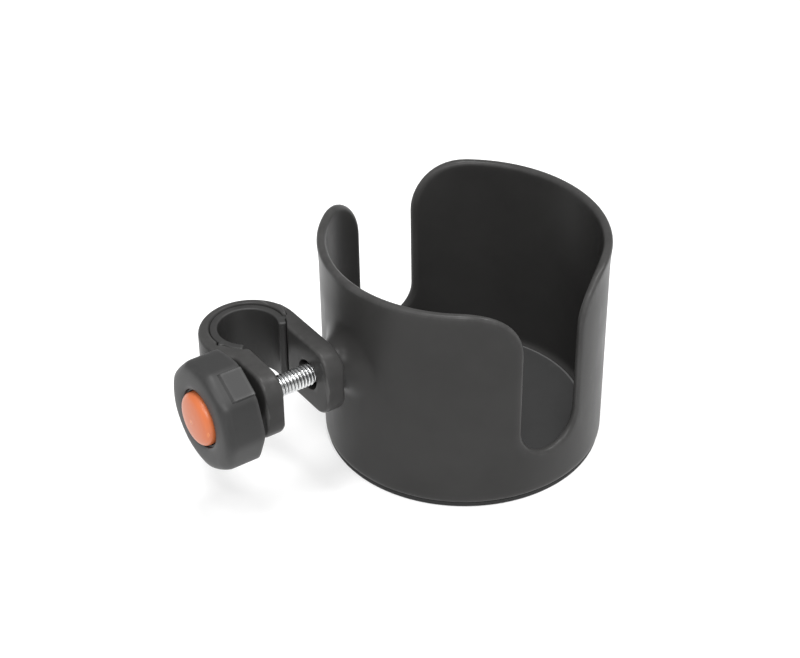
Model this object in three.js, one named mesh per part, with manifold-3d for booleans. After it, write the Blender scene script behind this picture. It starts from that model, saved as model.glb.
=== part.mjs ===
// Cup holder with a screw clamp for a round tube.
// Frame: millimetres, +Z up. The cup axis is x = y = 0 and the cup stands on z = 0.
// The clamp reaches out along -X on the swivel axis (y = 0, z = AXIS_Z).
// The two handle slots of the cup are at +Y and -Y.
import * as THREE from 'three';
import { mergeVertices } from 'three/addons/utils/BufferGeometryUtils.js';
import Module from 'manifold-3d';

const wasm = await Module();
wasm.setup();

// ---- driving dimensions -------------------------------------------------
const CUP_H = 64;            // rim height
const PAD_H = 1.5;           // base pad under the cup
const PAD_R = 38.2;
const WALL_R0 = 39.3;        // outer wall radius at the bottom
const WALL_R1 = 39.8;        // outer wall radius under the rim
const RIM_R = 40.35;         // rolled lip of the rim
const IN_R0 = 36.9;          // cavity radius at the floor
const IN_R1 = 37.5;          // cavity radius at the rim
const FLOOR_Z = 4.0;         // top of the moulded floor
const MAT_R = 34.8;
const MAT_H = 1.2;

const SLOT_W = 19.4;         // handle slot width
const SLOT_BOTTOM = 13.6;
const SLOT_CORNER = 15.2;    // big rounding where a slot opens into the rim
const SLOT_TURN = 1.5;       // the slots stand this many degrees off square to the clamp

const AXIS_Z = 38.2;         // swivel and clamp screw axis
const NECK_R = 6.4;
const NECK_FLARE = 5.2;
const NECK_ROOT = -39.6;     // where the flare meets the wall
const NECK_END = -45.0;

const CLAMP_X0 = -69.9;      // outer face of the front ear
const CLAMP_X1 = -64.4;      // mouth face of the front ear
const CLAMP_X2 = -51.4;      // mouth face of the rear ear
const CLAMP_X3 = -45.7;      // outer face of the rear ear
const CLAMP_H = 20;
const EAR_Y = -9.6;          // free end of the ears
const EAR_CORNER = 6.2;
const RING = { x: -59.8, y: 15.0, r: 13.9 };
const BORE = { x: -59.5, y: 16.5, r: 10.4 };
const LINER_OUT = 10.2;
const LINER_IN = 8.2;
const LINER_START = -27;     // angles of the liner's two ends, degrees
const LINER_END = 231;
const RIB_ANGLES = [-12, 195];
const RIB_W = 1.2;
const RIB_SLOT_W = 1.7;
const FRONT_GAP = 0.3;       // play of the screw in the front ear
const REAR_GAP = 0.2;        // and in the rear ear, the neck and the knob
const RECESS_R = 4.4;        // counterbore in the mouth face of the rear ear
const RECESS_DEPTH = 3.2;

const BOLT_R = 3.0;          // M6
const BOLT_PITCH = 1.0;
const SHANK_R = 2.6;
const HEAD_AF = 10;
const HEX_GAP = 0.3;         // play across the flats of a hexagon pocket
const HEAD_X0 = -41.8;
const HEAD_X1 = -37.9;
const THREAD_START = -50.0;  // cut thread as far as it can be seen, plain rod inside the knob
const THREAD_TURNS = 18;
const BOLT_END = -80.6;

const KNOB_BACK = -73.9;
const KNOB_HUB = -71.3;
const KNOB_FRONT = -82.3;    // where the rounding of the front begins
const KNOB_NOSE = -84.9;
const KNOB_R = 15.5;
const KNOB_FLATS = 9;
const KNOB_FLAT_AT = 122;    // middle of one flat, degrees from +Y towards +Z
const KNOB_FLAT_DEPTH = 0.65;
const HUB_R = 6.9;
const WASHER_R = 5.4;
const PANEL_AT = [122, 302]; // raised grip panels on two opposite sides of the knob
const PANEL_W = 8.2;
const PANEL_RISE = 0.42;
const PANEL_BACK = -74.4;
const PANEL_FRONT = -80.8;
const NUT_X0 = -80.9;
const NUT_X1 = -75.5;
const CAP_R = 7.4;
const CAP_POCKET = 2.4;      // depth of the pocket the cap is pressed into
const CAP_LIP = 0.7;         // open groove round the cap at the front

// ---- geometry helpers ---------------------------------------------------
function solid(geometry) {
  const g = geometry.clone();
  g.deleteAttribute('normal');
  g.deleteAttribute('uv');
  const m = mergeVertices(g, 1e-4);
  return new wasm.Manifold(new wasm.Mesh({
    numProp: 3,
    vertProperties: new Float32Array(m.attributes.position.array),
    triVerts: new Uint32Array(m.index.array),
  }));
}

function toGeometry(manifold) {
  const mesh = manifold.getMesh();
  const g = new THREE.BufferGeometry();
  g.setAttribute('position', new THREE.BufferAttribute(new Float32Array(mesh.vertProperties), 3));
  g.setIndex(new THREE.BufferAttribute(new Uint32Array(mesh.triVerts), 1));
  g.computeVertexNormals();
  return g;
}

// A solid of revolution about the vertical; points are [radius, z] pairs.
function latheZ(points, segments = 80) {
  const g = new THREE.LatheGeometry(points.map(([r, z]) => new THREE.Vector2(r, z)), segments);
  g.rotateX(Math.PI / 2);
  return solid(g);
}

// A solid of revolution about the screw axis; points are [radius, x] pairs, x falling.
function latheX(points, segments = 48) {
  const g = new THREE.LatheGeometry(points.map(([r, x]) => new THREE.Vector2(r, -x)), segments);
  g.rotateZ(Math.PI / 2);
  g.translate(0, 0, AXIS_Z);
  return solid(g);
}

function rodX(r, x0, x1, segments = 40) {
  return latheX([[0, x1], [r, x1], [r, x0], [0, x0]], segments);
}

function hexX(acrossFlats, x0, x1) {
  const g = new THREE.CylinderGeometry(acrossFlats / Math.sqrt(3), acrossFlats / Math.sqrt(3), x1 - x0, 6);
  g.rotateZ(Math.PI / 2);
  g.translate((x0 + x1) / 2, 0, AXIS_Z);
  return solid(g);
}

// A flat outline in X-Y pulled up along Z.
function prismZ(shape, z0, z1, bevel = 0, curveSegments = 24) {
  const g = new THREE.ExtrudeGeometry(shape, {
    depth: z1 - z0 - 2 * bevel,
    bevelEnabled: bevel > 0,
    bevelSize: bevel,
    bevelOffset: -bevel,
    bevelThickness: bevel,
    bevelSegments: 2,
    curveSegments,
  });
  g.translate(0, 0, z0 + bevel);
  return solid(g);
}

// An outline drawn in Y-Z and pulled along X.
function prismX(shape, x0, x1, curveSegments = 12) {
  const g = new THREE.ExtrudeGeometry(shape, { depth: x1 - x0, bevelEnabled: false, curveSegments });
  g.applyMatrix4(new THREE.Matrix4().set(
    0, 0, 1, x0,
    1, 0, 0, 0,
    0, 1, 0, 0,
    0, 0, 0, 1,
  ));
  return solid(g);
}

// An outline drawn in X-Z and pulled along Y, centred on y = 0.
function prismY(shape, depth, curveSegments = 20) {
  const g = new THREE.ExtrudeGeometry(shape, { depth, bevelEnabled: false, curveSegments });
  g.translate(0, 0, -depth / 2);
  g.rotateX(Math.PI / 2);
  return solid(g);
}

function polar(c, r, deg) {
  const a = THREE.MathUtils.degToRad(deg);
  return [c.x + r * Math.cos(a), c.y + r * Math.sin(a)];
}

// ---- cup ----------------------------------------------------------------
function slotOutline() {
  const w = SLOT_W / 2;
  const top = CUP_H + 3;
  const s = new THREE.Shape();
  s.moveTo(-w - SLOT_CORNER, top);
  s.lineTo(-w - SLOT_CORNER, CUP_H);
  s.absarc(-w - SLOT_CORNER, CUP_H - SLOT_CORNER, SLOT_CORNER, Math.PI / 2, 0, true);
  s.lineTo(-w, SLOT_BOTTOM + w);
  s.absarc(0, SLOT_BOTTOM + w, w, Math.PI, 2 * Math.PI, false);
  s.lineTo(w, CUP_H - SLOT_CORNER);
  s.absarc(w + SLOT_CORNER, CUP_H - SLOT_CORNER, SLOT_CORNER, Math.PI, Math.PI / 2, true);
  s.lineTo(w + SLOT_CORNER, top);
  return s;
}

function neckProfile() {
  const wide = NECK_R + NECK_FLARE;
  const points = [[0, -30], [wide, -30], [wide, NECK_ROOT + 1.2]];
  for (let i = 0; i <= 8; i += 1) {
    const a = (i / 8) * (Math.PI / 2);
    points.push([
      NECK_R + NECK_FLARE * (1 - Math.sin(a)),
      NECK_ROOT - NECK_FLARE * (1 - Math.cos(a)),
    ]);
  }
  points.push([NECK_R, NECK_END]);
  points.push([0, NECK_END]);
  return points;
}

function makeCup() {
  const shell = latheZ([
    [0, PAD_H], [37.9, PAD_H], [38.7, PAD_H + 0.2], [39.15, PAD_H + 0.7], [WALL_R0, PAD_H + 1.6],
    [WALL_R1, CUP_H - 4], [40.0, CUP_H - 2.6], [RIM_R, CUP_H - 1.7], [RIM_R, CUP_H - 0.9],
    [40.0, CUP_H - 0.3], [39.4, CUP_H], [0, CUP_H],
  ]);
  const cavity = latheZ([
    [0, FLOOR_Z], [IN_R0 - 1.6, FLOOR_Z], [IN_R0 - 0.5, FLOOR_Z + 0.4], [IN_R0, FLOOR_Z + 1.6],
    [IN_R1, CUP_H - 2], [IN_R1 + 0.3, CUP_H - 0.7], [IN_R1 + 0.9, CUP_H],
    [IN_R1 + 0.9, CUP_H + 2], [0, CUP_H + 2],
  ]);
  return shell
    .add(latheX(neckProfile(), 64))
    .subtract(cavity)
    .subtract(prismY(slotOutline(), 120).rotate([0, 0, SLOT_TURN]))
    .subtract(hexX(HEAD_AF + HEX_GAP, HEAD_X0 - 0.1, -30))
    .subtract(rodX(BOLT_R + REAR_GAP, -50, -40, 32));
}

function makeBasePad() {
  return latheZ([[0, 0], [PAD_R - 0.5, 0], [PAD_R, 0.5], [PAD_R, PAD_H - 0.02], [0, PAD_H - 0.02]]);
}

function makeFloorMat() {
  const z = FLOOR_Z + 0.02;
  return latheZ([[0, z], [MAT_R, z], [MAT_R, z + MAT_H - 0.4], [MAT_R - 0.5, z + MAT_H], [0, z + MAT_H]]);
}

// ---- clamp --------------------------------------------------------------
function clampOutline() {
  const left = Math.acos((CLAMP_X0 - RING.x) / RING.r);
  const boreRight = -Math.acos((CLAMP_X2 - BORE.x) / BORE.r);
  const boreLeft = -Math.acos((CLAMP_X1 - BORE.x) / BORE.r);
  const s = new THREE.Shape();
  s.moveTo(CLAMP_X2, EAR_Y);
  s.lineTo(CLAMP_X3, EAR_Y);
  s.absarc(RING.x, RING.y, RING.r, 0, 2 * Math.PI - left, false);
  s.lineTo(CLAMP_X0, EAR_Y);
  s.lineTo(CLAMP_X1, EAR_Y);
  s.absarc(BORE.x, BORE.y, BORE.r, boreLeft + 2 * Math.PI, boreRight + 2 * Math.PI, true);
  return s;
}

function earEndOutline() {
  const z0 = AXIS_Z - CLAMP_H / 2;
  const z1 = AXIS_Z + CLAMP_H / 2;
  const s = new THREE.Shape();
  s.moveTo(40, z0);
  s.lineTo(40, z1);
  s.lineTo(EAR_Y + EAR_CORNER, z1);
  s.absarc(EAR_Y + EAR_CORNER, z1 - EAR_CORNER, EAR_CORNER, Math.PI / 2, Math.PI, false);
  s.absarc(EAR_Y + EAR_CORNER, z0 + EAR_CORNER, EAR_CORNER, Math.PI, 1.5 * Math.PI, false);
  return s;
}

// A short radial bar across the bore wall, used for the liner's locating ribs.
function ribBar(deg, width, r0, r1, z0, z1) {
  const g = new THREE.BoxGeometry(r1 - r0, width, z1 - z0);
  g.translate((r0 + r1) / 2, 0, (z0 + z1) / 2);
  g.rotateZ(THREE.MathUtils.degToRad(deg));
  g.translate(BORE.x, BORE.y, 0);
  return solid(g);
}

function makeClamp() {
  const z0 = AXIS_Z - CLAMP_H / 2;
  const z1 = AXIS_Z + CLAMP_H / 2;
  let body = prismZ(clampOutline(), z0, z1, 0.6)
    .intersect(prismX(earEndOutline(), -80, -40))
    .subtract(rodX(BOLT_R + FRONT_GAP, -72, -60))
    .subtract(rodX(BOLT_R + REAR_GAP, -60, -44))
    .subtract(rodX(RECESS_R, -60, CLAMP_X2 + RECESS_DEPTH));
  for (const deg of RIB_ANGLES) {
    body = body.subtract(ribBar(deg, RIB_SLOT_W, BORE.r - 0.8, BORE.r + 1.0, z0 - 1, z1 + 1));
  }
  return body;
}

function makeLiner() {
  const z0 = AXIS_Z - CLAMP_H / 2 + 0.4;
  const z1 = AXIS_Z + CLAMP_H / 2 - 0.4;
  const a0 = THREE.MathUtils.degToRad(LINER_START);
  const a1 = THREE.MathUtils.degToRad(LINER_END);
  const s = new THREE.Shape();
  s.moveTo(...polar(BORE, LINER_OUT, LINER_START));
  s.absarc(BORE.x, BORE.y, LINER_OUT, a0, a1, false);
  s.lineTo(...polar(BORE, LINER_IN, LINER_END));
  s.absarc(BORE.x, BORE.y, LINER_IN, a1, a0, true);
  let body = prismZ(s, z0, z1, 0.3, 30);
  for (const deg of RIB_ANGLES) {
    body = body.add(ribBar(deg, RIB_W, LINER_OUT - 0.5, BORE.r + 0.7, z0 + 0.5, z1 - 0.5));
  }
  return body;
}

// ---- screw --------------------------------------------------------------
function makeBolt() {
  const points = [[0, HEAD_X0 + 0.5], [SHANK_R, HEAD_X0 + 0.5], [SHANK_R, THREAD_START]];
  for (let i = 0; i < THREAD_TURNS; i += 1) {
    const x = THREAD_START - i * BOLT_PITCH;
    points.push([BOLT_R - 0.55, x - 0.05]);
    points.push([BOLT_R, x - 0.5]);
  }
  points.push([BOLT_R, BOLT_END + 0.8]);
  points.push([BOLT_R - 0.8, BOLT_END]);
  points.push([0, BOLT_END]);
  const head = hexX(HEAD_AF, HEAD_X0, HEAD_X1)
    .intersect(latheX([[0, HEAD_X1], [5.0, HEAD_X1], [5.8, HEAD_X1 - 0.5], [5.8, HEAD_X0], [0, HEAD_X0]]));
  return latheX(points, 32).add(head);
}

function makeSwivelRing() {
  const x0 = CLAMP_X3 + 0.06;
  const x1 = NECK_END - 0.06;
  return rodX(NECK_R - 0.2, x0, x1, 48).subtract(rodX(BOLT_R + 0.4, x0 - 1, x1 + 1, 32));
}

function makeThrustWasher() {
  const x0 = KNOB_HUB + 0.05;
  const x1 = CLAMP_X0 - 0.05;
  return rodX(WASHER_R, x0, x1, 48).subtract(rodX(BOLT_R + REAR_GAP, x0 - 1, x1 + 1, 32));
}

// ---- knob ---------------------------------------------------------------
// A shallow flat cut along the rim of the knob, tilted a little to follow its taper.
function knobFlat(deg) {
  const size = 14;
  const g = new THREE.BoxGeometry(16, size, 6);
  g.translate(0, 0, 3 + KNOB_R - KNOB_FLAT_DEPTH);
  g.rotateY(THREE.MathUtils.degToRad(1.5));
  g.rotateX(THREE.MathUtils.degToRad(deg - 90));
  g.translate((KNOB_BACK + KNOB_FRONT) / 2, 0, AXIS_Z);
  return solid(g);
}

// A raised grip panel on the rim of the knob.
function knobPanel(deg) {
  const top = KNOB_R - KNOB_FLAT_DEPTH + PANEL_RISE;
  const thick = 1.5;
  const g = new THREE.BoxGeometry(PANEL_BACK - PANEL_FRONT, PANEL_W, thick);
  g.translate(0, 0, top - thick / 2);
  g.rotateX(THREE.MathUtils.degToRad(deg - 90));
  g.translate((PANEL_BACK + PANEL_FRONT) / 2, 0, AXIS_Z);
  return solid(g);
}

function makeKnob() {
  const pocket = CAP_R + 0.25;
  let body = latheX([
    [0, KNOB_HUB], [HUB_R, KNOB_HUB], [HUB_R, KNOB_BACK], [KNOB_R - 1.0, KNOB_BACK],
    [KNOB_R - 0.2, KNOB_BACK - 0.5], [KNOB_R, KNOB_BACK - 1.2], [KNOB_R, KNOB_FRONT + 0.6],
    [KNOB_R - 0.3, KNOB_FRONT - 0.5], [KNOB_R - 0.9, KNOB_FRONT - 1.4], [KNOB_R - 1.8, KNOB_FRONT - 2.0],
    [KNOB_R - 3.2, KNOB_FRONT - 2.4], [KNOB_R - 5.0, KNOB_NOSE], [CAP_R + CAP_LIP, KNOB_NOSE],
    [CAP_R + CAP_LIP, KNOB_NOSE + 0.9], [pocket, KNOB_NOSE + 0.9], [pocket, KNOB_NOSE + CAP_POCKET],
    [0, KNOB_NOSE + CAP_POCKET],
  ], 72);
  for (let i = 0; i < KNOB_FLATS; i += 1) {
    body = body.subtract(knobFlat(KNOB_FLAT_AT + (i * 360) / KNOB_FLATS));
  }
  for (const deg of PANEL_AT) {
    body = body.add(knobPanel(deg));
  }
  return body
    .subtract(hexX(HEAD_AF + HEX_GAP, KNOB_NOSE, NUT_X1 + 0.1))
    .subtract(rodX(BOLT_R + REAR_GAP, -83, -70, 32));
}

function makeKnobNut() {
  return hexX(HEAD_AF, NUT_X0, NUT_X1).subtract(rodX(BOLT_R + 0.05, -82, -74, 32));
}

// The cap is a button with a low dome that stands a little proud of the knob.
function makeKnobCap() {
  const back = KNOB_NOSE + CAP_POCKET - 0.1;
  return latheX([
    [0, back], [CAP_R, back], [CAP_R, KNOB_NOSE], [CAP_R - 0.2, KNOB_NOSE - 0.6],
    [CAP_R - 0.8, KNOB_NOSE - 1.3], [5.5, KNOB_NOSE - 1.75], [3.5, KNOB_NOSE - 2.1], [0, KNOB_NOSE - 2.25],
  ], 64);
}

// ---- assembly -----------------------------------------------------------
const PLASTIC = { color: 0x3b3a38, roughness: 0.5, metalness: 0 };
const KNOB_PLASTIC = { color: 0x434242, roughness: 0.6, metalness: 0 };
const RUBBER = { color: 0x2c2b29, roughness: 0.85, metalness: 0 };
const LINER_RUBBER = { color: 0x4a4a45, roughness: 0.75, metalness: 0 };
const ZINC = { color: 0xd5d8da, roughness: 0.3, metalness: 1 };
const ORANGE = { color: 0xe08048, roughness: 0.45, metalness: 0 };
const NYLON = { color: 0x1f1f1f, roughness: 0.6, metalness: 0 };

const group = new THREE.Group();
group.name = 'tube_clamp_cup_holder';

function add(name, body, look) {
  const mesh = new THREE.Mesh(toGeometry(body), new THREE.MeshStandardMaterial(look));
  mesh.name = name;
  group.add(mesh);
}

add('cup_body', makeCup(), PLASTIC);
add('base_pad', makeBasePad(), RUBBER);
add('floor_mat', makeFloorMat(), RUBBER);
add('swivel_ring', makeSwivelRing(), NYLON);
add('clamp_bolt', makeBolt(), ZINC);
add('clamp_body', makeClamp(), PLASTIC);
add('clamp_liner', makeLiner(), LINER_RUBBER);
add('thrust_washer', makeThrustWasher(), NYLON);
add('knob_body', makeKnob(), KNOB_PLASTIC);
add('knob_nut', makeKnobNut(), ZINC);
add('knob_cap', makeKnobCap(), ORANGE);

export default group;
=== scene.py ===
"""Looks of a tube clamp cup holder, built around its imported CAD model.

Shapes are worked out in millimetres in the CAD frame and written to Blender in metres:
+Z up, the cup axis at x = y = 0, the clamp and its screw along -X at y = 0.
"""
import math

import bmesh
import bpy
from mathutils import Matrix, Vector
from mathutils.geometry import delaunay_2d_cdt


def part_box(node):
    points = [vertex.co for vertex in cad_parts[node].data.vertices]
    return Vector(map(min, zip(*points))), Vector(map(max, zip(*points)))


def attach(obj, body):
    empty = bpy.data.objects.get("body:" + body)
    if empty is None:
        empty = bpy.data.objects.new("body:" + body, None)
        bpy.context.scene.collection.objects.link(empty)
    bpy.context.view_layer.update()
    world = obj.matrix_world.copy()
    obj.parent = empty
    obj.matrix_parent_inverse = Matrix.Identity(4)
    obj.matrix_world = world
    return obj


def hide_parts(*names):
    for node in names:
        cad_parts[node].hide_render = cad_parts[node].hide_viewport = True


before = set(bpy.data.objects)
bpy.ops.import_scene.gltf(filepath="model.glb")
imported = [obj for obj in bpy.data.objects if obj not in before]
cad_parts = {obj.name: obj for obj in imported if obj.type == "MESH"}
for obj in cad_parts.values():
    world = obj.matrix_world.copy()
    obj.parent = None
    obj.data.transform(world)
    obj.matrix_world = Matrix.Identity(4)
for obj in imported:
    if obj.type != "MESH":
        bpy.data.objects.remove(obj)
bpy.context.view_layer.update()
MM = 0.001


def box_mm(node):
    """Lowest and highest corners of a CAD node, in millimetres."""
    low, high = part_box(node)
    return low / MM, high / MM


# ---- places and sizes taken from the CAD nodes, millimetres ---------------
CUP_HIGH = box_mm("cup_body")[1]
PAD_HIGH = box_mm("base_pad")[1]
MAT_LOW, MAT_HIGH = box_mm("floor_mat")
RING_LOW, RING_HIGH = box_mm("swivel_ring")
BOLT_LOW, BOLT_HIGH = box_mm("clamp_bolt")
CLAMP_LOW, CLAMP_HIGH = box_mm("clamp_body")
LINER_LOW, LINER_HIGH = box_mm("clamp_liner")
WASHER_LOW, WASHER_HIGH = box_mm("thrust_washer")
KNOB_HIGH = box_mm("knob_body")[1]

AXIS_Z = (RING_LOW.z + RING_HIGH.z) / 2
CUP_TOP = CUP_HIGH.z
CUP_BASE = PAD_HIGH.z + 0.02         # a hair above the pad, so that the faces do not flicker
NECK_END = RING_HIGH.x + 0.06

# Places and sizes below are in millimetres too, and angles are in degrees unless turned into radians.

# ---- cup ------------------------------------------------------------------
WALL_BOTTOM = 39.5           # outer radius above the base fillet
WALL_TOP = 39.83             # outer radius below the lip
LIP = 0.5                    # how far the lip leans out
LIP_DEPTH = 9.0
CAVITY_BOTTOM = 36.9
CAVITY_TOP = 37.6
FLOOR_Z = 4.0
OUTER_START = 3.1            # top of the outer base fillet
INNER_START = 5.8            # top of the fillet inside
# (radius, height) below the outer wall and below the inner one
UNDER_FILLET = ((39.45, 2.4), (39.3, 1.95), (39.0, 1.66), (38.6, CUP_BASE), (20.0, CUP_BASE))
INSIDE_FILLET = ((36.75, 5.1), (36.4, 4.55), (35.85, 4.15), (35.0, FLOOR_Z), (18.0, FLOOR_Z))
PAD_R = PAD_HIGH.x + 0.8
GROOVE_DEPTH = 0.35          # shallow groove under the base pad
MAT_R = MAT_HIGH.x
EDGE = 1.3                   # rounding of the rim and the slot edges
SLOT_HALF = 9.4              # half the width of a handle slot
SLOT_FLOOR_CENTRE = 23.7     # height of the centre of its round bottom
SLOT_CORNER = 15.2           # radius of the corners where it opens into the rim
SLOT_TURN = math.radians(1.5)
UNROLL = 39.5                # radius at which the wall is laid flat for meshing
WALL_STEP = 1.4              # grid of the wall mesh
MESH_MARGIN = 0.7            # grid points keep this far from the rim, the slots and the neck
RIM_COUNT = 70               # mesh points along the rim from slot to slot
RIM_SIDE_COUNT = 26          # and from a slot to the mesh seam at angle 0
RING_COUNT = 180
NECK_COUNT = 72
NECK_R = 6.3
FLARE = 6.0                  # how much wider the neck is where it meets the wall
BORE_R = 3.3
POCKET_AF = 10.3             # hexagon pocket inside the cup, across flats
POCKET_LEAD = 0.3            # how much its mouth is widened
POCKET_FLOOR = -41.9

# ---- clamp ----------------------------------------------------------------
EAR_X = (-69.9, -64.4, -51.4, -45.7)     # both faces of the front ear, then both of the rear ear
EAR_Y = -9.6                 # free end of both ears
EAR_CORNER = 6.2
RING_CENTRE = (-59.8, 15.0)  # the outside of the ring
RING_R = 13.9
BORE_CENTRE = (-59.5, 16.5)  # the inside of the ring and the liner
CLAMP_BORE = 10.4
CLAMP_EDGE = 1.1
RIBS = (-12.0, 195.0)        # where ribs of the liner lie in slots of the bore
RIB_SLOT_DEPTH = 0.95
RIB_SLOT_HALF = 4.6          # half the angle a slot covers
RIB_HEIGHT = 0.8
RIB_HALF = 3.1
LINER_OUT = 10.34
LINER_IN = 8.2
LINER_ENDS = (-27.0, 232.0)

# ---- screw and knob -------------------------------------------------------
SCREW_R = 3.0
SCREW_PITCH = 1.0
SHANK_R = 2.6
THREAD_DEPTH = 0.62
THREAD_FROM = -50.2
HEAD_AF = 10.0
HEAD_CHAMFER_R = 5.85        # radius at which the chamfer starts, just outside the corners
HEAD_RECESS_R = 4.2
HUB_R = 6.9
KNOB_BACK = KNOB_HIGH.x - 2.6            # back face of the grip, where the hub ends
KNOB_BACK_EDGE = 0.45
KNOB_APOTHEM = 14.85
KNOB_ROUND = 15.45
KNOB_FACETS = 9
KNOB_BLEND = 0.25            # how softly the flats run into the round
KNOB_TURN = 122.0            # middle of the first grip panel
PANEL_HALF = 15.0
PANEL_SLOPE = 1.6            # angle over which a panel's long edges rise
PANEL_RISE = 0.42
PANEL_FRONT = -80.8
GRIP_FRONT = -81.8           # front end of the straight sides
# (x, radius, roundness) from the sides over the front face to the lip about the cap
KNOB_SHOULDER = (
    (-82.3, 15.4, 0.05), (-82.8, 15.27, 0.1), (-83.3, 15.07, 0.2), (-83.75, 14.8, 0.35), (-84.1, 14.48, 0.5),
    (-84.4, 14.05, 0.65), (-84.62, 13.5, 0.8), (-84.78, 12.8, 0.9), (-84.86, 11.8, 1.0), (-84.9, 10.4, 1.0),
    (-84.88, 9.3, 1.0), (-84.8, 8.7, 1.0), (-84.6, 8.3, 1.0), (-84.25, 8.1, 1.0),
)
CAP_POCKET = ((-84.0, 8.05), (-83.98, 7.7), (-82.6, 7.65), (-82.5, 7.3), (-82.5, 2.0))       # x, radius
CAP_R = 7.4
CAP_BACK = -82.6
CAP_NOSE = -87.15


# ---- mesh tools -----------------------------------------------------------
class Skin:
    """Points in millimetres and the faces between them."""

    def __init__(self):
        self.points = []
        self.faces = []

    def ring(self, points):
        start = len(self.points)
        self.points.extend(points)
        return list(range(start, start + len(points)))

    def bridge(self, a, b, closed=True):
        last = len(a) if closed else len(a) - 1
        for i in range(last):
            j = (i + 1) % len(a)
            self.faces.append((a[i], a[j], b[j], b[i]))

    def loft(self, rings, closed=True):
        """Quads between rings of equal length; gives back the indices of the rings."""
        ids = [self.ring(r) for r in rings]
        for a, b in zip(ids, ids[1:]):
            self.bridge(a, b, closed)
        return ids

    def cap(self, ids):
        """Closes a ring with a fan to its middle."""
        middle = [sum(self.points[i][k] for i in ids) / len(ids) for k in range(3)]
        centre = self.ring([middle])[0]
        for i, a in enumerate(ids):
            self.faces.append((a, ids[(i + 1) % len(ids)], centre))


def build(name, skin, sharp=38.0):
    """A smooth-shaded Blender object in metres; creases sharper than `sharp` degrees stay sharp."""
    mesh = bpy.data.meshes.new(name)
    mesh.from_pydata([Vector(p) * MM for p in skin.points], [], skin.faces)
    bm = bmesh.new()
    bm.from_mesh(mesh)
    bmesh.ops.remove_doubles(bm, verts=bm.verts, dist=2e-6)
    bmesh.ops.dissolve_degenerate(bm, edges=bm.edges, dist=1e-7)
    bmesh.ops.recalc_face_normals(bm, faces=bm.faces)
    bm.to_mesh(mesh)
    bm.free()
    obj = bpy.data.objects.new(name, mesh)
    bpy.context.scene.collection.objects.link(obj)
    smooth(obj, sharp)
    return obj


def smooth(obj, sharp):
    mesh = obj.data
    mesh.polygons.foreach_set("use_smooth", [True] * len(mesh.polygons))
    mesh.set_sharp_from_angle(angle=math.radians(sharp))
    mesh.update()


def apply_modifiers(obj):
    graph = bpy.context.evaluated_depsgraph_get()
    mesh = bpy.data.meshes.new_from_object(obj.evaluated_get(graph))
    obj.modifiers.clear()
    obj.data = mesh


def cut(obj, tool):
    modifier = obj.modifiers.new("cut", "BOOLEAN")
    modifier.operation = "DIFFERENCE"
    modifier.solver = "EXACT"
    modifier.object = tool
    apply_modifiers(obj)
    bpy.data.objects.remove(tool)


def soften(obj, width, angle, segments=3):
    """Rounds every edge sharper than `angle` degrees."""
    modifier = obj.modifiers.new("soften", "BEVEL")
    modifier.width = width * MM
    modifier.segments = segments
    modifier.limit_method = "ANGLE"
    modifier.angle_limit = math.radians(angle)
    apply_modifiers(obj)


def rounded(points, steps=5):
    """A polyline of (a, b, radius) corners with each corner rounded off."""
    out = []
    for i, (a, b, radius) in enumerate(points):
        here = Vector((a, b))
        if radius <= 0 or i in (0, len(points) - 1):
            out.append((a, b))
            continue
        before = Vector(points[i - 1][:2]) - here
        after = Vector(points[i + 1][:2]) - here
        reach = min(radius, before.length * 0.49, after.length * 0.49)
        start = here + before.normalized() * reach
        end = here + after.normalized() * reach
        for k in range(steps + 1):
            t = k / steps
            p = start * (1 - t) ** 2 + here * 2 * t * (1 - t) + end * t ** 2
            out.append((p.x, p.y))
    return out


def around_x(x, radius, count):
    """A ring of `count` points about the screw axis; radius is a number or a function of the angle."""
    ring = []
    for i in range(count):
        angle = 2 * math.pi * i / count
        r = radius(angle) if callable(radius) else radius
        ring.append((x, r * math.cos(angle), AXIS_Z + r * math.sin(angle)))
    return ring


def around_z(z, radius, count):
    ring = []
    for i in range(count):
        angle = 2 * math.pi * i / count
        ring.append((radius * math.cos(angle), radius * math.sin(angle), z))
    return ring


def lathe(name, profile, about, count, sharp=38.0, closed=False):
    """A turned piece from (radius, height) points; a closed profile makes a ring."""
    skin = Skin()
    ids = skin.loft([about(height, radius, count) for radius, height in profile])
    if closed:
        skin.bridge(ids[-1], ids[0])
    else:
        skin.cap(ids[0])
        skin.cap(ids[-1])
    return build(name, skin, sharp)


def ease(t):
    t = min(max(t, 0.0), 1.0)
    return t * t * (3 - 2 * t)


def hex_radius(across_flats, angle):
    fold = (math.degrees(angle) + 30) % 60 - 30
    return across_flats / 2 / math.cos(math.radians(fold))


# ---- materials ------------------------------------------------------------
def grey(value, warm=0.0):
    """Linear grey, a little warm where `warm` is above zero."""
    return (value * (1 + warm), value, value * (1 - warm), 1.0)


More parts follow.
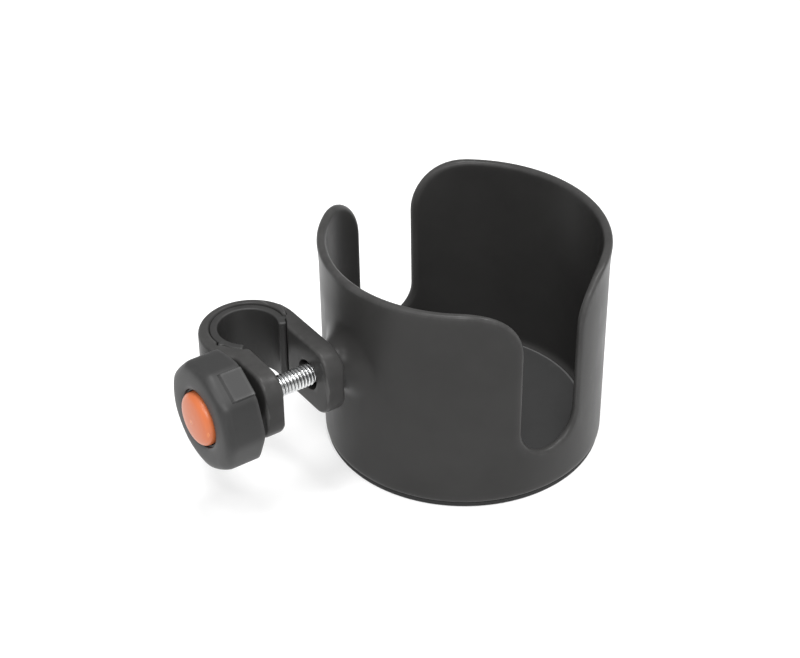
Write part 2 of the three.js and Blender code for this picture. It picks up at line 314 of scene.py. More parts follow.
class Look:
    """A small helper that wires one node material."""

    def __init__(self, name):
        self.material = bpy.data.materials.new(name)
        self.material.use_nodes = True
        self.nodes = self.material.node_tree.nodes
        self.links = self.material.node_tree.links
        self.shader = self.nodes["Principled BSDF"]
        self.place = self.nodes.new("ShaderNodeTexCoord").outputs["Object"]

    def put(self, name, value):
        self.shader.inputs[name].default_value = value

    def link(self, source, target):
        self.links.new(source, target)

    def noise(self, scale, detail=3.0, roughness=0.5, stretch=None):
        node = self.nodes.new("ShaderNodeTexNoise")
        node.inputs["Scale"].default_value = scale
        node.inputs["Detail"].default_value = detail
        node.inputs["Roughness"].default_value = roughness
        source = self.place
        if stretch:
            mapping = self.nodes.new("ShaderNodeMapping")
            mapping.inputs["Scale"].default_value = stretch
            self.link(self.place, mapping.inputs["Vector"])
            source = mapping.outputs["Vector"]
        self.link(source, node.inputs["Vector"])
        return node.outputs["Fac"]

    def ramp(self, source, low, high, a, b):
        """Maps `source` from low..high to the colours or numbers a..b."""
        node = self.nodes.new("ShaderNodeMapRange" if isinstance(a, float) else "ShaderNodeValToRGB")
        if isinstance(a, float):
            node.inputs["From Min"].default_value = low
            node.inputs["From Max"].default_value = high
            node.inputs["To Min"].default_value = a
            node.inputs["To Max"].default_value = b
            self.link(source, node.inputs["Value"])
            return node.outputs["Result"]
        node.color_ramp.elements[0].position = low
        node.color_ramp.elements[1].position = high
        node.color_ramp.elements[0].color = a
        node.color_ramp.elements[1].color = b
        self.link(source, node.inputs["Fac"])
        return node.outputs["Color"]

    def mix(self, factor, a, b):
        node = self.nodes.new("ShaderNodeMix")
        node.data_type = "RGBA"
        self.link(factor, node.inputs["Factor"])
        for socket, value in ((node.inputs[6], a), (node.inputs[7], b)):
            if isinstance(value, tuple):
                socket.default_value = value
            else:
                self.link(value, socket)
        return node.outputs[2]

    def math(self, operation, a, b):
        node = self.nodes.new("ShaderNodeMath")
        node.operation = operation
        for socket, value in zip(node.inputs, (a, b)):
            if isinstance(value, float):
                socket.default_value = value
            else:
                self.link(value, socket)
        return node.outputs["Value"]

    def distance(self, centre, keep):
        """Distance from `centre`, measured along the directions in `keep`."""
        shift = self.nodes.new("ShaderNodeVectorMath")
        shift.operation = "SUBTRACT"
        shift.inputs[1].default_value = Vector(centre) * MM
        self.link(self.place, shift.inputs[0])
        flatten = self.nodes.new("ShaderNodeVectorMath")
        flatten.operation = "MULTIPLY"
        flatten.inputs[1].default_value = keep
        self.link(shift.outputs["Vector"], flatten.inputs[0])
        length = self.nodes.new("ShaderNodeVectorMath")
        length.operation = "LENGTH"
        self.link(flatten.outputs["Vector"], length.inputs[0])
        return length.outputs["Value"]

    def edges(self, low=0.505, high=0.56):
        """1 along convex edges, 0 elsewhere."""
        geometry = self.nodes.new("ShaderNodeNewGeometry")
        return self.ramp(geometry.outputs["Pointiness"], low, high, 0.0, 1.0)

    def bump(self, height, strength, depth, under=None):
        node = self.nodes.new("ShaderNodeBump")
        node.inputs["Strength"].default_value = strength
        node.inputs["Distance"].default_value = depth * MM
        self.link(height, node.inputs["Height"])
        if under is not None:
            self.link(under, node.inputs["Normal"])
        return node.outputs["Normal"]


def moulded(name, dark, light, wear_and_highlight_colour, rough, grain, bump, specular, rim=None):
    """Moulded plastic or rubber: fine spark texture, faint clouding, paler polished edges.

    The third colour is that of the rubbed edges; beyond the radius `rim` about the cup axis it covers
    everything as a painted highlight.
    """
    look = Look(name)
    clouds = look.noise(45.0, 4.0, 0.6)
    fine = look.noise(1000.0 / grain, 2.0, 0.5)
    scuffs = look.noise(260.0, 5.0, 0.7, (1.0, 1.0, 0.25))
    base = look.ramp(clouds, 0.3, 0.7, dark, light)
    wear_and_highlight_mask = look.math("MULTIPLY", look.edges(), look.ramp(scuffs, 0.35, 0.6, 0.35, 1.0))
    # Beyond `rim` the pale edge colour becomes a painted highlight round the whole outer band.
    if rim:
        away = look.distance((0, 0, 0), (1, 1, 0))
        wear_and_highlight_mask = look.math("MAXIMUM", wear_and_highlight_mask, look.ramp(away, (rim - 0.1) * MM, rim * MM, 0.0, 1.0))
    look.link(look.mix(wear_and_highlight_mask, base, wear_and_highlight_colour), look.shader.inputs["Base Color"])
    uneven = look.ramp(clouds, 0.3, 0.7, rough - 0.04, rough + 0.04)
    scratched = look.math("ADD", uneven, look.ramp(scuffs, 0.55, 0.75, 0.0, -0.06))
    polished = look.math("SUBTRACT", scratched, look.math("MULTIPLY", wear_and_highlight_mask, 0.1))
    look.link(polished, look.shader.inputs["Roughness"])
    coarse = look.bump(look.noise(420.0, 3.0, 0.55), 0.12, 0.05)
    look.link(look.bump(fine, 0.5, bump, coarse), look.shader.inputs["Normal"])
    look.put("Specular IOR Level", specular)
    return look.material


def zinc(name, threaded=False):
    """Bright zinc plate: turning marks, faint clouding, and painted shade in the hollows, on the screw in
    the thread roots.
    """
    look = Look(name)
    clouds = look.noise(220.0, 4.0, 0.6)
    marks = look.noise(900.0, 3.0, 0.6, (6.0, 1.0, 1.0))
    base = look.ramp(clouds, 0.3, 0.7, (0.8, 0.81, 0.81, 1.0), (0.88, 0.89, 0.9, 1.0))
    # Painted shade mask: the thread roots on the screw, the concave hollows on the other zinc pieces.
    if threaded:
        away = look.distance((0, 0, AXIS_Z), (0, 1, 1))
        painted_shade = look.ramp(away, (SCREW_R - 0.6) * MM, (SCREW_R - 0.3) * MM, 1.0, 0.0)
    else:
        geometry = look.nodes.new("ShaderNodeNewGeometry")
        painted_shade = look.ramp(geometry.outputs["Pointiness"], 0.42, 0.5, 1.0, 0.0)
    # The painted shade is this near-black colour.
    look.link(look.mix(painted_shade, base, (0.07, 0.07, 0.068, 1.0)), look.shader.inputs["Base Color"])
    look.link(look.ramp(marks, 0.3, 0.7, 0.2, 0.36), look.shader.inputs["Roughness"])
    look.link(look.bump(marks, 0.25, 0.02), look.shader.inputs["Normal"])
    look.put("Metallic", 1.0)
    return look.material


CUP_PLASTIC = moulded(
    "cup_plastic", grey(0.027, 0.02), grey(0.033, 0.02), grey(0.07, 0.01),
    rough=0.36, grain=0.22, bump=0.012, specular=0.12,
)
KNOB_PLASTIC = moulded(
    "knob_plastic", grey(0.023), grey(0.029), grey(0.06),
    rough=0.44, grain=0.3, bump=0.018, specular=0.22,
)
LINER_RUBBER = moulded(
    "liner_rubber", grey(0.018, 0.02), grey(0.023, 0.02), grey(0.05),
    rough=0.5, grain=0.25, bump=0.01, specular=0.25,
)
PAD_RUBBER = moulded(
    "pad_rubber", grey(0.012), grey(0.017), grey(0.03),
    rough=0.7, grain=0.3, bump=0.015, specular=0.3,
)
# On the floor mat the pale edge colour covers the outer band from rim onwards as a painted highlight.
MAT_RUBBER = moulded(
    "mat_rubber", grey(0.03), grey(0.037), grey(0.12),
    rough=0.6, grain=0.3, bump=0.02, specular=0.35, rim=MAT_R - 0.75,
)
NYLON = moulded(
    "nylon", grey(0.008), grey(0.011), grey(0.02),
    rough=0.5, grain=0.3, bump=0.01, specular=0.3,
)
CAP_PLASTIC = moulded(
    "cap_plastic", (0.5, 0.125, 0.04, 1.0), (0.54, 0.14, 0.05, 1.0), (0.66, 0.23, 0.09, 1.0),
    rough=0.34, grain=0.35, bump=0.01, specular=0.4,
)
ZINC = zinc("zinc_steel")
THREAD_ZINC = zinc("thread_zinc", threaded=True)


def finish_piece(obj, body, slot, material, *nodes):
    obj.data.materials.clear()
    obj.data.materials.append(material)
    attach(obj, body)
    if nodes:
        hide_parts(*nodes)
    return obj


# ---- cup shell ------------------------------------------------------------
def outer_radius(z):
    rise = (z - OUTER_START) / (CUP_TOP - OUTER_START)
    lip = min(max((z - CUP_TOP + LIP_DEPTH) / LIP_DEPTH, 0.0), 1.0)
    return WALL_BOTTOM + (WALL_TOP - WALL_BOTTOM) * rise + LIP * lip * lip


def inner_radius(z):
    rise = (z - INNER_START) / (CUP_TOP - INNER_START)
    return CAVITY_BOTTOM + (CAVITY_TOP - CAVITY_BOTTOM) * rise


def slot_edge(inset):
    """(x, z) points down one side of a handle slot, round its bottom and up the other side."""
    corner_x = SLOT_HALF + SLOT_CORNER
    corner_z = CUP_TOP - SLOT_CORNER
    radius = SLOT_CORNER - inset
    half = SLOT_HALF + inset
    corner_steps = 14
    side_steps = 18
    bottom_steps = 30
    left = []
    for i in range(corner_steps + 1):
        a = 0.5 * math.pi * (1 - i / corner_steps)
        left.append((-corner_x + radius * math.cos(a), corner_z + radius * math.sin(a)))
    for i in range(1, side_steps):
        left.append((-half, corner_z + (SLOT_FLOOR_CENTRE - corner_z) * i / side_steps))
    bottom = []
    for i in range(bottom_steps + 1):
        a = math.pi * (1 + i / bottom_steps)
        bottom.append((half * math.cos(a), SLOT_FLOOR_CENTRE + half * math.sin(a)))
    right = [(-x, z) for x, z in reversed(left)]
    return left + bottom + right


def rim_path(inset, radius_at):
    """(angle, z) once round the open edge of the wall, at this distance inside its outline."""
    opening = math.asin((SLOT_HALF + SLOT_CORNER) / radius_at(CUP_TOP - inset))
    slots = (0.5 * math.pi + SLOT_TURN, 1.5 * math.pi + SLOT_TURN)
    stops = (
        (0.0, slots[0] - opening, RIM_SIDE_COUNT),
        (slots[0] + opening, slots[1] - opening, RIM_COUNT),
        (slots[1] + opening, 2 * math.pi, RIM_SIDE_COUNT),
    )
    path = []
    for k, (start, end, count) in enumerate(stops):
        first = 0 if k == 0 else 1
        last = count + 1 if k == 2 else count
        for i in range(first, last):
            path.append((start + (end - start) * i / count, CUP_TOP - inset))
        if k < 2:
            for x, z in slot_edge(inset):
                path.append((slots[k] + math.asin(x / radius_at(z)), z))
    return path


def wall_height(angle, inset, radius):
    """Height of the wall's outline at this angle, for a wall of this radius."""
    across = abs(radius * math.cos(angle - SLOT_TURN))
    half = SLOT_HALF + inset
    from_corner = SLOT_HALF + SLOT_CORNER - across
    corner = SLOT_CORNER - inset
    if across < half:
        return SLOT_FLOOR_CENTRE - math.sqrt(half * half - across * across)
    if 0 < from_corner < corner:
        return CUP_TOP - SLOT_CORNER + math.sqrt(corner * corner - from_corner * from_corner)
    return CUP_TOP - inset


def neck_hole(radius_at, wall_radius):
    """(angle, z) points of a hole about the screw axis, where the wall has this radius."""
    hole = []
    for i in range(NECK_COUNT):
        a = 2 * math.pi * i / NECK_COUNT
        y = radius_at(a) * math.cos(a)
        z = AXIS_Z + radius_at(a) * math.sin(a)
        hole.append((math.pi - math.asin(y / wall_radius(z)), z))
    return hole


def wall_sheet(skin, start_z, wall_radius, hole_radius):
    """One face of the cup wall: a fine triangle mesh on the cylinder, with a hole for the neck."""
    top = rim_path(EDGE, wall_radius)
    levels = 42
    seam = [start_z + (CUP_TOP - EDGE - start_z) * i / levels for i in range(1, levels)]
    loop = [(2 * math.pi * i / RING_COUNT, start_z) for i in range(RING_COUNT + 1)]
    loop += [(2 * math.pi, z) for z in seam]
    loop += list(reversed(top))
    loop += [(0.0, z) for z in reversed(seam)]
    hole = neck_hole(hole_radius, wall_radius)
    points = loop + hole
    edges = [(i, (i + 1) % len(loop)) for i in range(len(loop))]
    edges += [(len(loop) + i, len(loop) + (i + 1) % len(hole)) for i in range(len(hole))]

    def near_neck(angle, z, margin):
        if math.cos(angle) > 0:
            return False
        y = wall_radius(z) * math.sin(angle)
        a = math.atan2(z - AXIS_Z, y)
        return math.hypot(y, z - AXIS_Z) < hole_radius(a) + margin

    columns = round(2 * math.pi * UNROLL / WALL_STEP)
    rows = round((CUP_TOP - start_z) / WALL_STEP)
    for i in range(1, columns):
        angle = 2 * math.pi * i / columns
        for j in range(1, rows):
            z = start_z + (CUP_TOP - start_z) * j / rows
            limit = wall_height(angle, EDGE + MESH_MARGIN, wall_radius(z))
            if z < limit and not near_neck(angle, z, MESH_MARGIN):
                points.append((angle, z))
    flat = [Vector((angle * UNROLL, z)) for angle, z in points]
    made = delaunay_2d_cdt(flat, edges, [], 0, 1e-5)
    placed = [(v.x / UNROLL, v.y) for v in made[0]]
    base = len(skin.points)
    for angle, z in placed:
        r = wall_radius(z)
        skin.points.append((r * math.cos(angle), r * math.sin(angle), z))
    for tri in made[2]:
        a, b, c = (made[0][i] for i in tri)
        if abs((b - a).cross(c - a)) < 1e-3:
            continue
        angle = sum(placed[i][0] for i in tri) / 3
        z = sum(placed[i][1] for i in tri) / 3
        if z < wall_height(angle, EDGE, wall_radius(z)) - 1e-4 and not near_neck(angle, z, -0.01):
            skin.faces.append(tuple(base + i for i in tri))


def rim_strip(skin):
    """The half-round edge along the rim and both slots, from the outer wall to the inner one."""
    steps = 10
    rings = []
    for k in range(steps + 1):
        turn = math.pi * k / steps
        share = (1 + math.cos(turn)) / 2

        def radius_at(z, share=share):
            return inner_radius(z) + (outer_radius(z) - inner_radius(z)) * share

        ring = []
        for angle, z in rim_path(EDGE * (1 - math.sin(turn)), radius_at):
            r = radius_at(z)
            ring.append((r * math.cos(angle), r * math.sin(angle), z))
        rings.append(ring)
    skin.loft(rings, closed=False)


def neck_skin(skin):
    """The flared neck, its end face, the bore and the hexagon pocket that opens inside the cup."""
    count = NECK_COUNT
    angles = [2 * math.pi * i / count for i in range(count)]
    rings = []
    end = NECK_END + 0.35
    flare_steps = 12
    for k in range(flare_steps + 1):
        turn = 0.5 * math.pi * k / flare_steps
        r = NECK_R + FLARE * (1 - math.sin(turn))
        ring = []
        for a in angles:
            y, z = r * math.cos(a), AXIS_Z + r * math.sin(a)
            wall = -math.sqrt(outer_radius(z) ** 2 - y * y)
            ring.append((wall + (end - wall) * (1 - math.cos(turn)), y, z))
        rings.append(ring)
    mouth = (
        (NECK_END + 0.15, NECK_R - 0.08),
        (NECK_END + 0.03, NECK_R - 0.25),
        (NECK_END, NECK_R - 0.45),
        (NECK_END, BORE_R),
        (POCKET_FLOOR, BORE_R),
    )
    rings += [around_x(x, r, count) for x, r in mouth]
    rings.append(around_x(POCKET_FLOOR, lambda a: hex_radius(POCKET_AF, a), count))
    for widen, depth in ((0.0, 0.35), (POCKET_LEAD, 0.0)):
        ring = []
        for a in angles:
            r = hex_radius(POCKET_AF + 2 * widen, a)
            y, z = r * math.cos(a), AXIS_Z + r * math.sin(a)
            ring.append((-math.sqrt(inner_radius(z) ** 2 - y * y) - depth, y, z))
        rings.append(ring)
    skin.loft(rings)


def make_cup():
    skin = Skin()
    wall_sheet(skin, OUTER_START, outer_radius, lambda a: NECK_R + FLARE)
    wall_sheet(skin, INNER_START, inner_radius, lambda a: hex_radius(POCKET_AF + 2 * POCKET_LEAD, a))
    rim_strip(skin)
    neck_skin(skin)
    under = ((outer_radius(OUTER_START), OUTER_START),) + UNDER_FILLET
    inside = ((inner_radius(INNER_START), INNER_START),) + INSIDE_FILLET
    for profile in (under, inside):
        ids = skin.loft([around_z(z, r, RING_COUNT) for r, z in profile])
        skin.cap(ids[-1])
    return finish_piece(build("cup_shell", skin), "cup", "cup_plastic", CUP_PLASTIC, "cup_body")


def make_base_pad():
    top = PAD_HIGH.z
    profile = rounded([
        (2, 0, 0),
        (PAD_R - 8, 0, 0),
        (PAD_R - 7.5, GROOVE_DEPTH, 0.2),
        (PAD_R - 6.5, GROOVE_DEPTH, 0.2),
        (PAD_R - 6, 0, 0.2),
        (PAD_R, 0, 0.5),
        (PAD_R, top, 0.2),
        (2, top, 0),
    ])
    pad = lathe("base_pad_rubber", profile, around_z, 144)
    return finish_piece(pad, "cup", "pad_rubber", PAD_RUBBER, "base_pad")


def make_floor_mat():
    low, top = MAT_LOW.z, MAT_HIGH.z
    profile = rounded([(1, low, 0), (MAT_R, low, 0.1), (MAT_R, top, 0.7), (30, top, 0)], 6)
    profile += [(r, top) for r in (27, 24, 21, 18, 15, 12, 9, 6, 4, 2)]
    mat = lathe("floor_mat_rubber", profile, around_z, 144)
    return finish_piece(mat, "cup", "pad_rubber", MAT_RUBBER, "floor_mat")


# ---- clamp ----------------------------------------------------------------
def relaxed(points, rounds):
    """The polyline with its corners eased by averaging neighbours."""
    path = [Vector(p) for p in points]
    for _ in range(rounds):
        middle = [(a + b * 2 + c) / 4 for a, b, c in zip(path, path[1:], path[2:])]
        path = [path[0]] + middle + [path[-1]]
    return path


def line(a, b, count):
    return [(a[0] + (b[0] - a[0]) * i / count, a[1] + (b[1] - a[1]) * i / count) for i in range(count)]


def arc(centre, radius, start, end, count):
    """Arc points; radius is a number or a function of the angle in degrees."""
    out = []
    for i in range(count + 1):
        deg = start + (end - start) * i / count
        r = radius(deg) if callable(radius) else radius
        a = math.radians(deg)
        out.append((centre[0] + r * math.cos(a), centre[1] + r * math.sin(a)))
    return out


def rib_bump(deg, half_width):
    """1 within `half_width` degrees of a rib, 0 elsewhere, with an eased edge."""
    away = min(abs(deg - rib) for rib in RIBS)
    return 1.0 - ease((away - half_width + 0.5) / 1.0)


def bar_loft(skin, inner, outer, half_height, edge, end_edge, low_z=None, high_z=None):
    """A bar of rounded rectangular section swept between an inner and an outer path, with rounded ends.

    It reaches half_height(a, b) above and below the screw axis, or runs from low_z to high_z where given.
    """
    corner_steps = 4
    end_steps = 5
    corner = []
    for k in range(corner_steps + 1):
        a = 0.5 * math.pi * k / corner_steps
        corner.append((1 - math.sin(a), 1 - math.cos(a)))

    def section(a, b, shrink):
        across = b - a
        width = across.length
        way = across / width
        low = AXIS_Z - half_height(a, b) if low_z is None else low_z
        high = AXIS_Z + half_height(a, b) if high_z is None else high_z
        low += shrink
        high -= shrink
        start, stop = shrink, width - shrink
        r = max(min(edge - shrink * 0.6, (stop - start) * 0.48), 0.05)
        ring = []
        for cx, cz in corner:
            ring.append((start + r * cx, low + r * cz))
        for t in (0.25, 0.5, 0.75):
            ring.append((start, low + r + (high - low - 2 * r) * t))
        for cx, cz in reversed(corner):
            ring.append((start + r * cx, high - r * cz))
        for cx, cz in corner:
            ring.append((stop - r * cx, high - r * cz))
        for t in (0.75, 0.5, 0.25):
            ring.append((stop, low + r + (high - low - 2 * r) * t))
        for cx, cz in reversed(corner):
            ring.append((stop - r * cx, low + r * cz))
        return [(a.x + way.x * u, a.y + way.y * u, z) for u, z in ring]

    last = len(inner) - 1
    ahead = {
        0: (inner[1] - inner[0] + outer[1] - outer[0]).normalized(),
        last: (inner[-2] - inner[-1] + outer[-2] - outer[-1]).normalized(),
    }

    def end_rings(i):
        made = []
        for k in range(end_steps):
            a = 0.5 * math.pi * k / end_steps
            shrink = end_edge * (1 - math.sin(a))
            shift = end_edge * (1 - math.cos(a))
            made.append(section(inner[i] + ahead[i] * shift, outer[i] + ahead[i] * shift, shrink))
        return made

    skip = 1
    while (inner[skip] - inner[0]).length < end_edge or (outer[skip] - outer[0]).length < end_edge:
        skip += 1
    tail = last - 1
    while (inner[tail] - inner[last]).length < end_edge or (outer[tail] - outer[last]).length < end_edge:
        tail -= 1
    rings = end_rings(0)
    rings += [section(inner[i], outer[i], 0.0) for i in range(skip, tail + 1)]
    rings += list(reversed(end_rings(last)))
    ids = skin.loft(rings)
    skin.cap(ids[0])
    skin.cap(ids[-1])


def clamp_path(rear_x, front_x, round_part, straight):
    """From the rear ear's free end up to the ring, round it, and down to the front ear's free end."""
    path = line((rear_x, EAR_Y), (rear_x, straight), 16)
    path += line((rear_x, straight), round_part[0], 14)
    path += round_part
    path += line(round_part[-1], (front_x, straight), 12)[1:]
    path += line((front_x, straight), (front_x, EAR_Y), 16)
    path.append((front_x, EAR_Y))
    return path


def make_clamp():
    x0, x1, x2, x3 = EAR_X
    straight = 0.0           # y where the ears end and the ring's flanks start
    bore_right = -math.degrees(math.acos((x2 - BORE_CENTRE[0]) / CLAMP_BORE))
    bore_left = 360 - math.degrees(math.acos((x1 - BORE_CENTRE[0]) / CLAMP_BORE))
    ring_left = 360 - math.degrees(math.acos((x0 - RING_CENTRE[0]) / RING_R))

    def bore(deg):
        return CLAMP_BORE + RIB_SLOT_DEPTH * rib_bump(deg, RIB_SLOT_HALF)

    inner_arc = arc(BORE_CENTRE, bore, bore_right, bore_left, 170)
    outer_arc = arc(RING_CENTRE, RING_R, 0.0, ring_left, 170)
    inner = clamp_path(x2, x1, inner_arc, straight)
    outer = clamp_path(x3, x0, outer_arc, straight)
    full = (CLAMP_HIGH.z - CLAMP_LOW.z) / 2

    def half_height(a, b):
        y = (a.y + b.y) / 2
        inside = EAR_Y + EAR_CORNER - y
        if inside <= 0 or max(a.y, b.y) > 0.5:
            return full
        return full - EAR_CORNER + math.sqrt(max(EAR_CORNER ** 2 - inside ** 2, 0.0))

    skin = Skin()
    bar_loft(skin, relaxed(inner, 3), relaxed(outer, 10), half_height, CLAMP_EDGE, 0.9)
    body = build("clamp_shell", skin)
    front = SCREW_R + 0.35
    rear = SCREW_R + 0.2
    recess = 4.35
    cut(body, lathe("front_hole", [(front, x0 - 3), (front, x1 + 3)], around_x, 48))
    cut(body, lathe("rear_hole", [(rear, x2 - 3), (rear, x3 + 3)], around_x, 48))
    recess_profile = [(recess, x2 - 3), (recess, x2 + 3.1), (recess - 0.25, x2 + 3.35)]
    cut(body, lathe("recess", recess_profile, around_x, 48))
    soften(body, 0.3, 50)
    smooth(body, 38)
    return finish_piece(body, "clamp", "cup_plastic", CUP_PLASTIC, "clamp_body")


def make_liner():
    def outside(deg):
        return LINER_OUT + RIB_HEIGHT * rib_bump(deg, RIB_HALF)

    start, end = LINER_ENDS
    inner = relaxed(arc(BORE_CENTRE, LINER_IN, start, end, 220), 1)
    outer = relaxed(arc(BORE_CENTRE, outside, start, end, 220), 1)
    skin = Skin()
    bar_loft(skin, inner, outer, None, 0.5, 0.6, LINER_LOW.z, LINER_HIGH.z)
    return finish_piece(build("liner_rubber", skin), "clamp", "liner_rubber", LINER_RUBBER, "clamp_liner")


# ---- screw ----------------------------------------------------------------
def make_screw():
    """Shank and rolled thread in one skin; the thread fades in over most of its first turn."""
    count = 48
    step = SCREW_PITCH / 10
    end = BOLT_LOW.x
    rings = [around_x(BOLT_HIGH.x - 1.5, SHANK_R, count), around_x(THREAD_FROM + 0.6, SHANK_R, count)]
    x = THREAD_FROM
    while x > end + 1.0:
        grown = ease((THREAD_FROM - x) / (0.8 * SCREW_PITCH))

        def thread(angle, x=x, grown=grown):
            wave = abs(((x / SCREW_PITCH - angle / (2 * math.pi)) % 1.0) * 2 - 1)
            crest = min(max((wave - 0.14) / 0.66, 0.0), 1.0)
            return SHANK_R + (SCREW_R - THREAD_DEPTH - SHANK_R + THREAD_DEPTH * crest) * grown

        rings.append(around_x(x, thread, count))
        x -= step
    rings.append(around_x(end + 0.5, SHANK_R - 0.2, count))
    rings.append(around_x(end, SHANK_R - 0.8, count))
    skin = Skin()
    ids = skin.loft(rings)
    skin.cap(ids[0])
    skin.cap(ids[-1])
    return finish_piece(build("screw_zinc", skin, 70.0), "cup", "zinc_steel", THREAD_ZINC, "clamp_bolt")


def make_screw_head():
    """Hexagon head with a turned chamfer, seated in the pocket inside the cup."""
    back = POCKET_FLOOR + 0.1
    front = BOLT_HIGH.x
    rings = [
        around_x(back, lambda a: hex_radius(HEAD_AF, a) - 0.15, NECK_COUNT),
        around_x(back + 0.15, lambda a: hex_radius(HEAD_AF, a), NECK_COUNT),
    ]
    chamfer_steps = 6
    for k in range(chamfer_steps + 1):
        limit = HEAD_CHAMFER_R - 0.16 * k
        x = front - 0.5 + 0.5 * k / chamfer_steps
        rings.append(around_x(x, lambda a, limit=limit: min(hex_radius(HEAD_AF, a), limit), NECK_COUNT))
    rings.append(around_x(front, HEAD_RECESS_R + 0.2, NECK_COUNT))
    rings.append(around_x(front - 0.2, HEAD_RECESS_R, NECK_COUNT))
    rings.append(around_x(front - 0.2, 2.0, NECK_COUNT))
    skin = Skin()
    ids = skin.loft(rings)
    skin.cap(ids[0])
    skin.cap(ids[-1])
    return finish_piece(build("screw_head_zinc", skin, 25.0), "cup", "zinc_steel", ZINC)


def flat_ring(name, low, high, bore, rounding, steps):
    """A flat ring about the screw axis, between two corners of its CAD box."""
    corners = [(bore, low.x, 0), (high.y, low.x, rounding), (high.y, high.x, rounding), (bore, high.x, 0)]
    return lathe(name, rounded(corners, steps), around_x, 64, closed=True)


def make_swivel_ring():
    ring = flat_ring("swivel_ring_nylon", RING_LOW, RING_HIGH, BORE_R + 0.2, 0.1, 2)
    return finish_piece(ring, "cup", "nylon", NYLON, "swivel_ring")


def make_washer():
    washer = flat_ring("washer_nylon", WASHER_LOW, WASHER_HIGH, BORE_R, 0.2, 3)
    return finish_piece(washer, "washer", "nylon", NYLON, "thrust_washer")


# ---- knob -----------------------------------------------------------------
def knob_radius(deg, raised):
    """Radius of the grip at this angle; `raised` is 1 along the grip panels and 0 in front of them."""
    width = 360 / KNOB_FACETS
    turns = (deg - KNOB_TURN) / width
    away = math.radians((turns - round(turns)) * width)
    flat = KNOB_APOTHEM / math.cos(away)
    base = -KNOB_BLEND * math.log(math.exp(-flat / KNOB_BLEND) + math.exp(-KNOB_ROUND / KNOB_BLEND))
    from_panel = (deg - KNOB_TURN + 90) % 180 - 90
    if abs(from_panel) <= PANEL_HALF:
        top = (KNOB_APOTHEM + PANEL_RISE) / math.cos(math.radians(from_panel))
        return base + (top - base) * raised
    return base


def knob_angles():
    """Angles round the knob, with close pairs at the panel edges so that they stay crisp."""
    angles = [k * 1.5 for k in range(240)]
    for middle in (KNOB_TURN, KNOB_TURN + 180):
        for side in (-PANEL_HALF, PANEL_HALF):
            edge = (middle + side) % 360
            angles = [a for a in angles if abs(a - edge) > PANEL_SLOPE + 0.6]
            angles += [edge - PANEL_SLOPE, edge, edge + PANEL_SLOPE]
    return sorted(a % 360 for a in angles)


def make_knob():
    angles = knob_angles()
    hub_x = KNOB_HIGH.x
    side_x = KNOB_BACK - KNOB_BACK_EDGE

    def ring(x, scale, raised):
        points = []
        for deg in angles:
            r = knob_radius(deg, raised) * scale
            a = math.radians(deg)
            points.append((x, r * math.cos(a), AXIS_Z + r * math.sin(a)))
        return points

    def circle(x, r):
        return [(x, r * math.cos(math.radians(d)), AXIS_Z + r * math.sin(math.radians(d))) for d in angles]

    def dome(x, r, roundness):
        """Between the scaled outline of the grip, at roundness 0, and a plain circle, at 1."""
        plain = circle(x, r)
        faceted = ring(x, r / KNOB_ROUND, 0.0)
        return [Vector(f).lerp(Vector(p), roundness) for p, f in zip(plain, faceted)]

    hub = (
        (hub_x, 3.4),
        (hub_x, HUB_R - 0.3),
        (hub_x - 0.3, HUB_R),
        (KNOB_BACK + 0.4, HUB_R),
        (KNOB_BACK + 0.1, HUB_R + 0.3),
        (KNOB_BACK, HUB_R + 0.9),
    )
    rings = [circle(x, r) for x, r in hub]
    for x, scale in ((KNOB_BACK, 0.97), (KNOB_BACK - 0.05, 0.984), (KNOB_BACK - 0.2, 0.995), (side_x, 1.0)):
        rings.append(ring(x, scale, 1.0))
    side_steps = 8
    for k in range(1, side_steps + 1):
        rings.append(ring(side_x + (PANEL_FRONT + 0.7 - side_x) * k / side_steps, 1.0, 1.0))
    rings += [ring(x, 1.0, 0.0) for x in (PANEL_FRONT, PANEL_FRONT - 0.5, GRIP_FRONT)]
    rings += [dome(x, r, roundness) for x, r, roundness in KNOB_SHOULDER]
    rings += [circle(x, r) for x, r in CAP_POCKET]
    skin = Skin()
    ids = skin.loft(rings)
    skin.cap(ids[0])
    skin.cap(ids[-1])
    return finish_piece(build("knob_plastic", skin, 30.0), "knob", "knob_plastic", KNOB_PLASTIC, "knob_body")


def make_cap():
    profile = rounded([
        (1.5, CAP_BACK, 0),
        (CAP_R, CAP_BACK, 0.2),
        (CAP_R, CAP_NOSE + 2.25, 0.4),
        (CAP_R - 0.2, CAP_NOSE + 1.65, 0.4),
        (CAP_R - 0.8, CAP_NOSE + 0.95, 0.5),
        (5.5, CAP_NOSE + 0.5, 0.7),
        (3.5, CAP_NOSE + 0.15, 1.0),
        (1.0, CAP_NOSE, 0.5),
        (0.3, CAP_NOSE, 0),
    ])
    cap = lathe("knob_cap_orange", profile, around_x, 96)
    return finish_piece(cap, "knob", "cap_plastic", CAP_PLASTIC, "knob_cap")


# ---- studio ---------------------------------------------------------------
CAMERA_AZIMUTH = -34.2
CAMERA_ELEVATION = 35.29
CAMERA_ROLL = -0.65
CAMERA_PLACE = (-271.8, -368.3, 356.0)
LENS = 90.0
SENSOR_WIDTH = 36.0
WHITE = (1.0, 1.0, 1.0, 1.0)
SKY_STRENGTH = 0.42
PAPER_GREY = 0.55
PAPER_GLOW = 0.5             # lifts the paper to the plain light ground of a product shot
# The floor and the lights are in metres and watts.
FLOOR_SIZE = 6.0
LIGHT_TARGET = (0, 0, 0.03)
LIGHTS = (                   # name, place, diameter, power
    ("top", (-0.05, -0.05, 1.1), 0.35, 7.5),
    ("overhead", (0.46, -0.22, 0.86), 0.22, 4.0),
    ("front", (-0.45, -0.75, 0.95), 0.5, 8.5),
    ("edge", (-0.63, -0.15, 0.76), 0.2, 1.4),
)


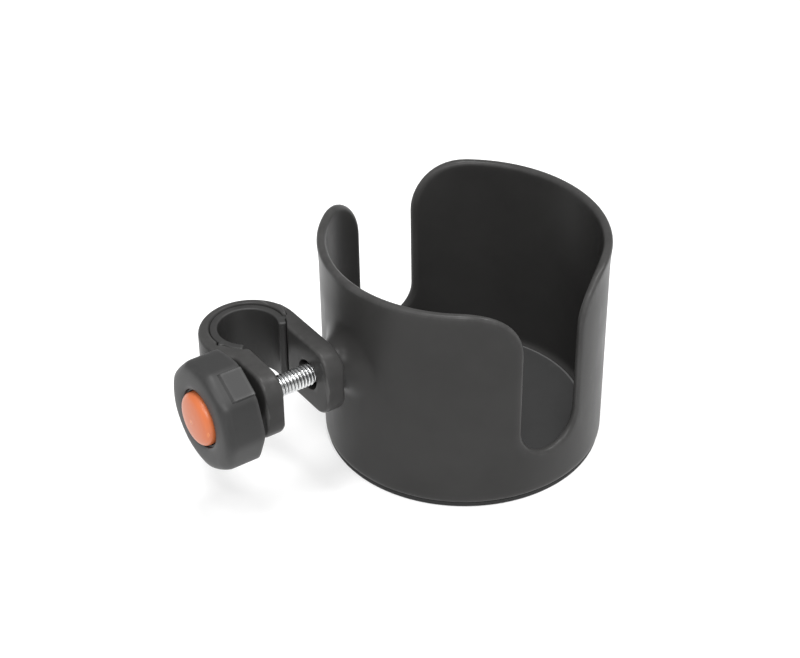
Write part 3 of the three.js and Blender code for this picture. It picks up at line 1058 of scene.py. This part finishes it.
def add_camera():
    azimuth = math.radians(CAMERA_AZIMUTH)
    elevation = math.radians(CAMERA_ELEVATION)
    roll = math.radians(CAMERA_ROLL)
    right = Vector((math.cos(azimuth), math.sin(azimuth), 0))
    level = math.cos(elevation)
    back = Vector((math.sin(azimuth) * level, -math.cos(azimuth) * level, math.sin(elevation)))
    up = back.cross(right)
    right_rolled = right * math.cos(roll) + up * math.sin(roll)
    up_rolled = up * math.cos(roll) - right * math.sin(roll)
    data = bpy.data.cameras.new("camera")
    data.lens = LENS
    data.sensor_width = SENSOR_WIDTH
    data.clip_start = 0.01
    camera = bpy.data.objects.new("camera", data)
    turn = Matrix((right_rolled, up_rolled, back)).transposed().to_4x4()
    camera.matrix_world = Matrix.Translation(Vector(CAMERA_PLACE) * MM) @ turn
    bpy.context.scene.collection.objects.link(camera)
    bpy.context.scene.camera = camera


def add_floor():
    half = FLOOR_SIZE / 2
    mesh = bpy.data.meshes.new("studio_floor")
    corners = [(-half, -half, 0), (half, -half, 0), (half, half, 0), (-half, half, 0)]
    mesh.from_pydata(corners, [], [(0, 1, 2, 3)])
    floor = bpy.data.objects.new("studio_floor", mesh)
    bpy.context.scene.collection.objects.link(floor)
    look = Look("studio_paper")
    look.put("Base Color", grey(PAPER_GREY))
    look.put("Roughness", 0.9)
    look.put("Specular IOR Level", 0.1)
    look.put("Emission Color", WHITE)
    look.put("Emission Strength", PAPER_GLOW)
    mesh.materials.append(look.material)


def add_light(name, place, size, power):
    data = bpy.data.lights.new(name, "AREA")
    data.shape = "DISK"
    data.size = size
    data.energy = power
    light = bpy.data.objects.new(name, data)
    light.location = place
    light.rotation_euler = (Vector(LIGHT_TARGET) - Vector(place)).to_track_quat("-Z", "Y").to_euler()
    bpy.context.scene.collection.objects.link(light)


def add_studio():
    world = bpy.data.worlds.new("studio")
    world.use_nodes = True
    sky = world.node_tree.nodes["Background"]
    sky.inputs["Color"].default_value = WHITE
    sky.inputs["Strength"].default_value = SKY_STRENGTH
    bpy.context.scene.world = world
    bpy.context.scene.view_settings.view_transform = "Standard"
    for name, place, size, power in LIGHTS:
        add_light(name, place, size, power)
    add_floor()


# ---- assembly -------------------------------------------------------------
add_camera()
add_studio()
make_cup()
make_base_pad()
make_floor_mat()
make_clamp()
make_liner()
make_screw()
make_screw_head()
make_swivel_ring()
make_washer()
make_knob()
make_cap()

# The nut inside the knob keeps its CAD shape and only gets the zinc look.
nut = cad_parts["knob_nut"]
nut.data.materials.clear()
nut.data.materials.append(ZINC)
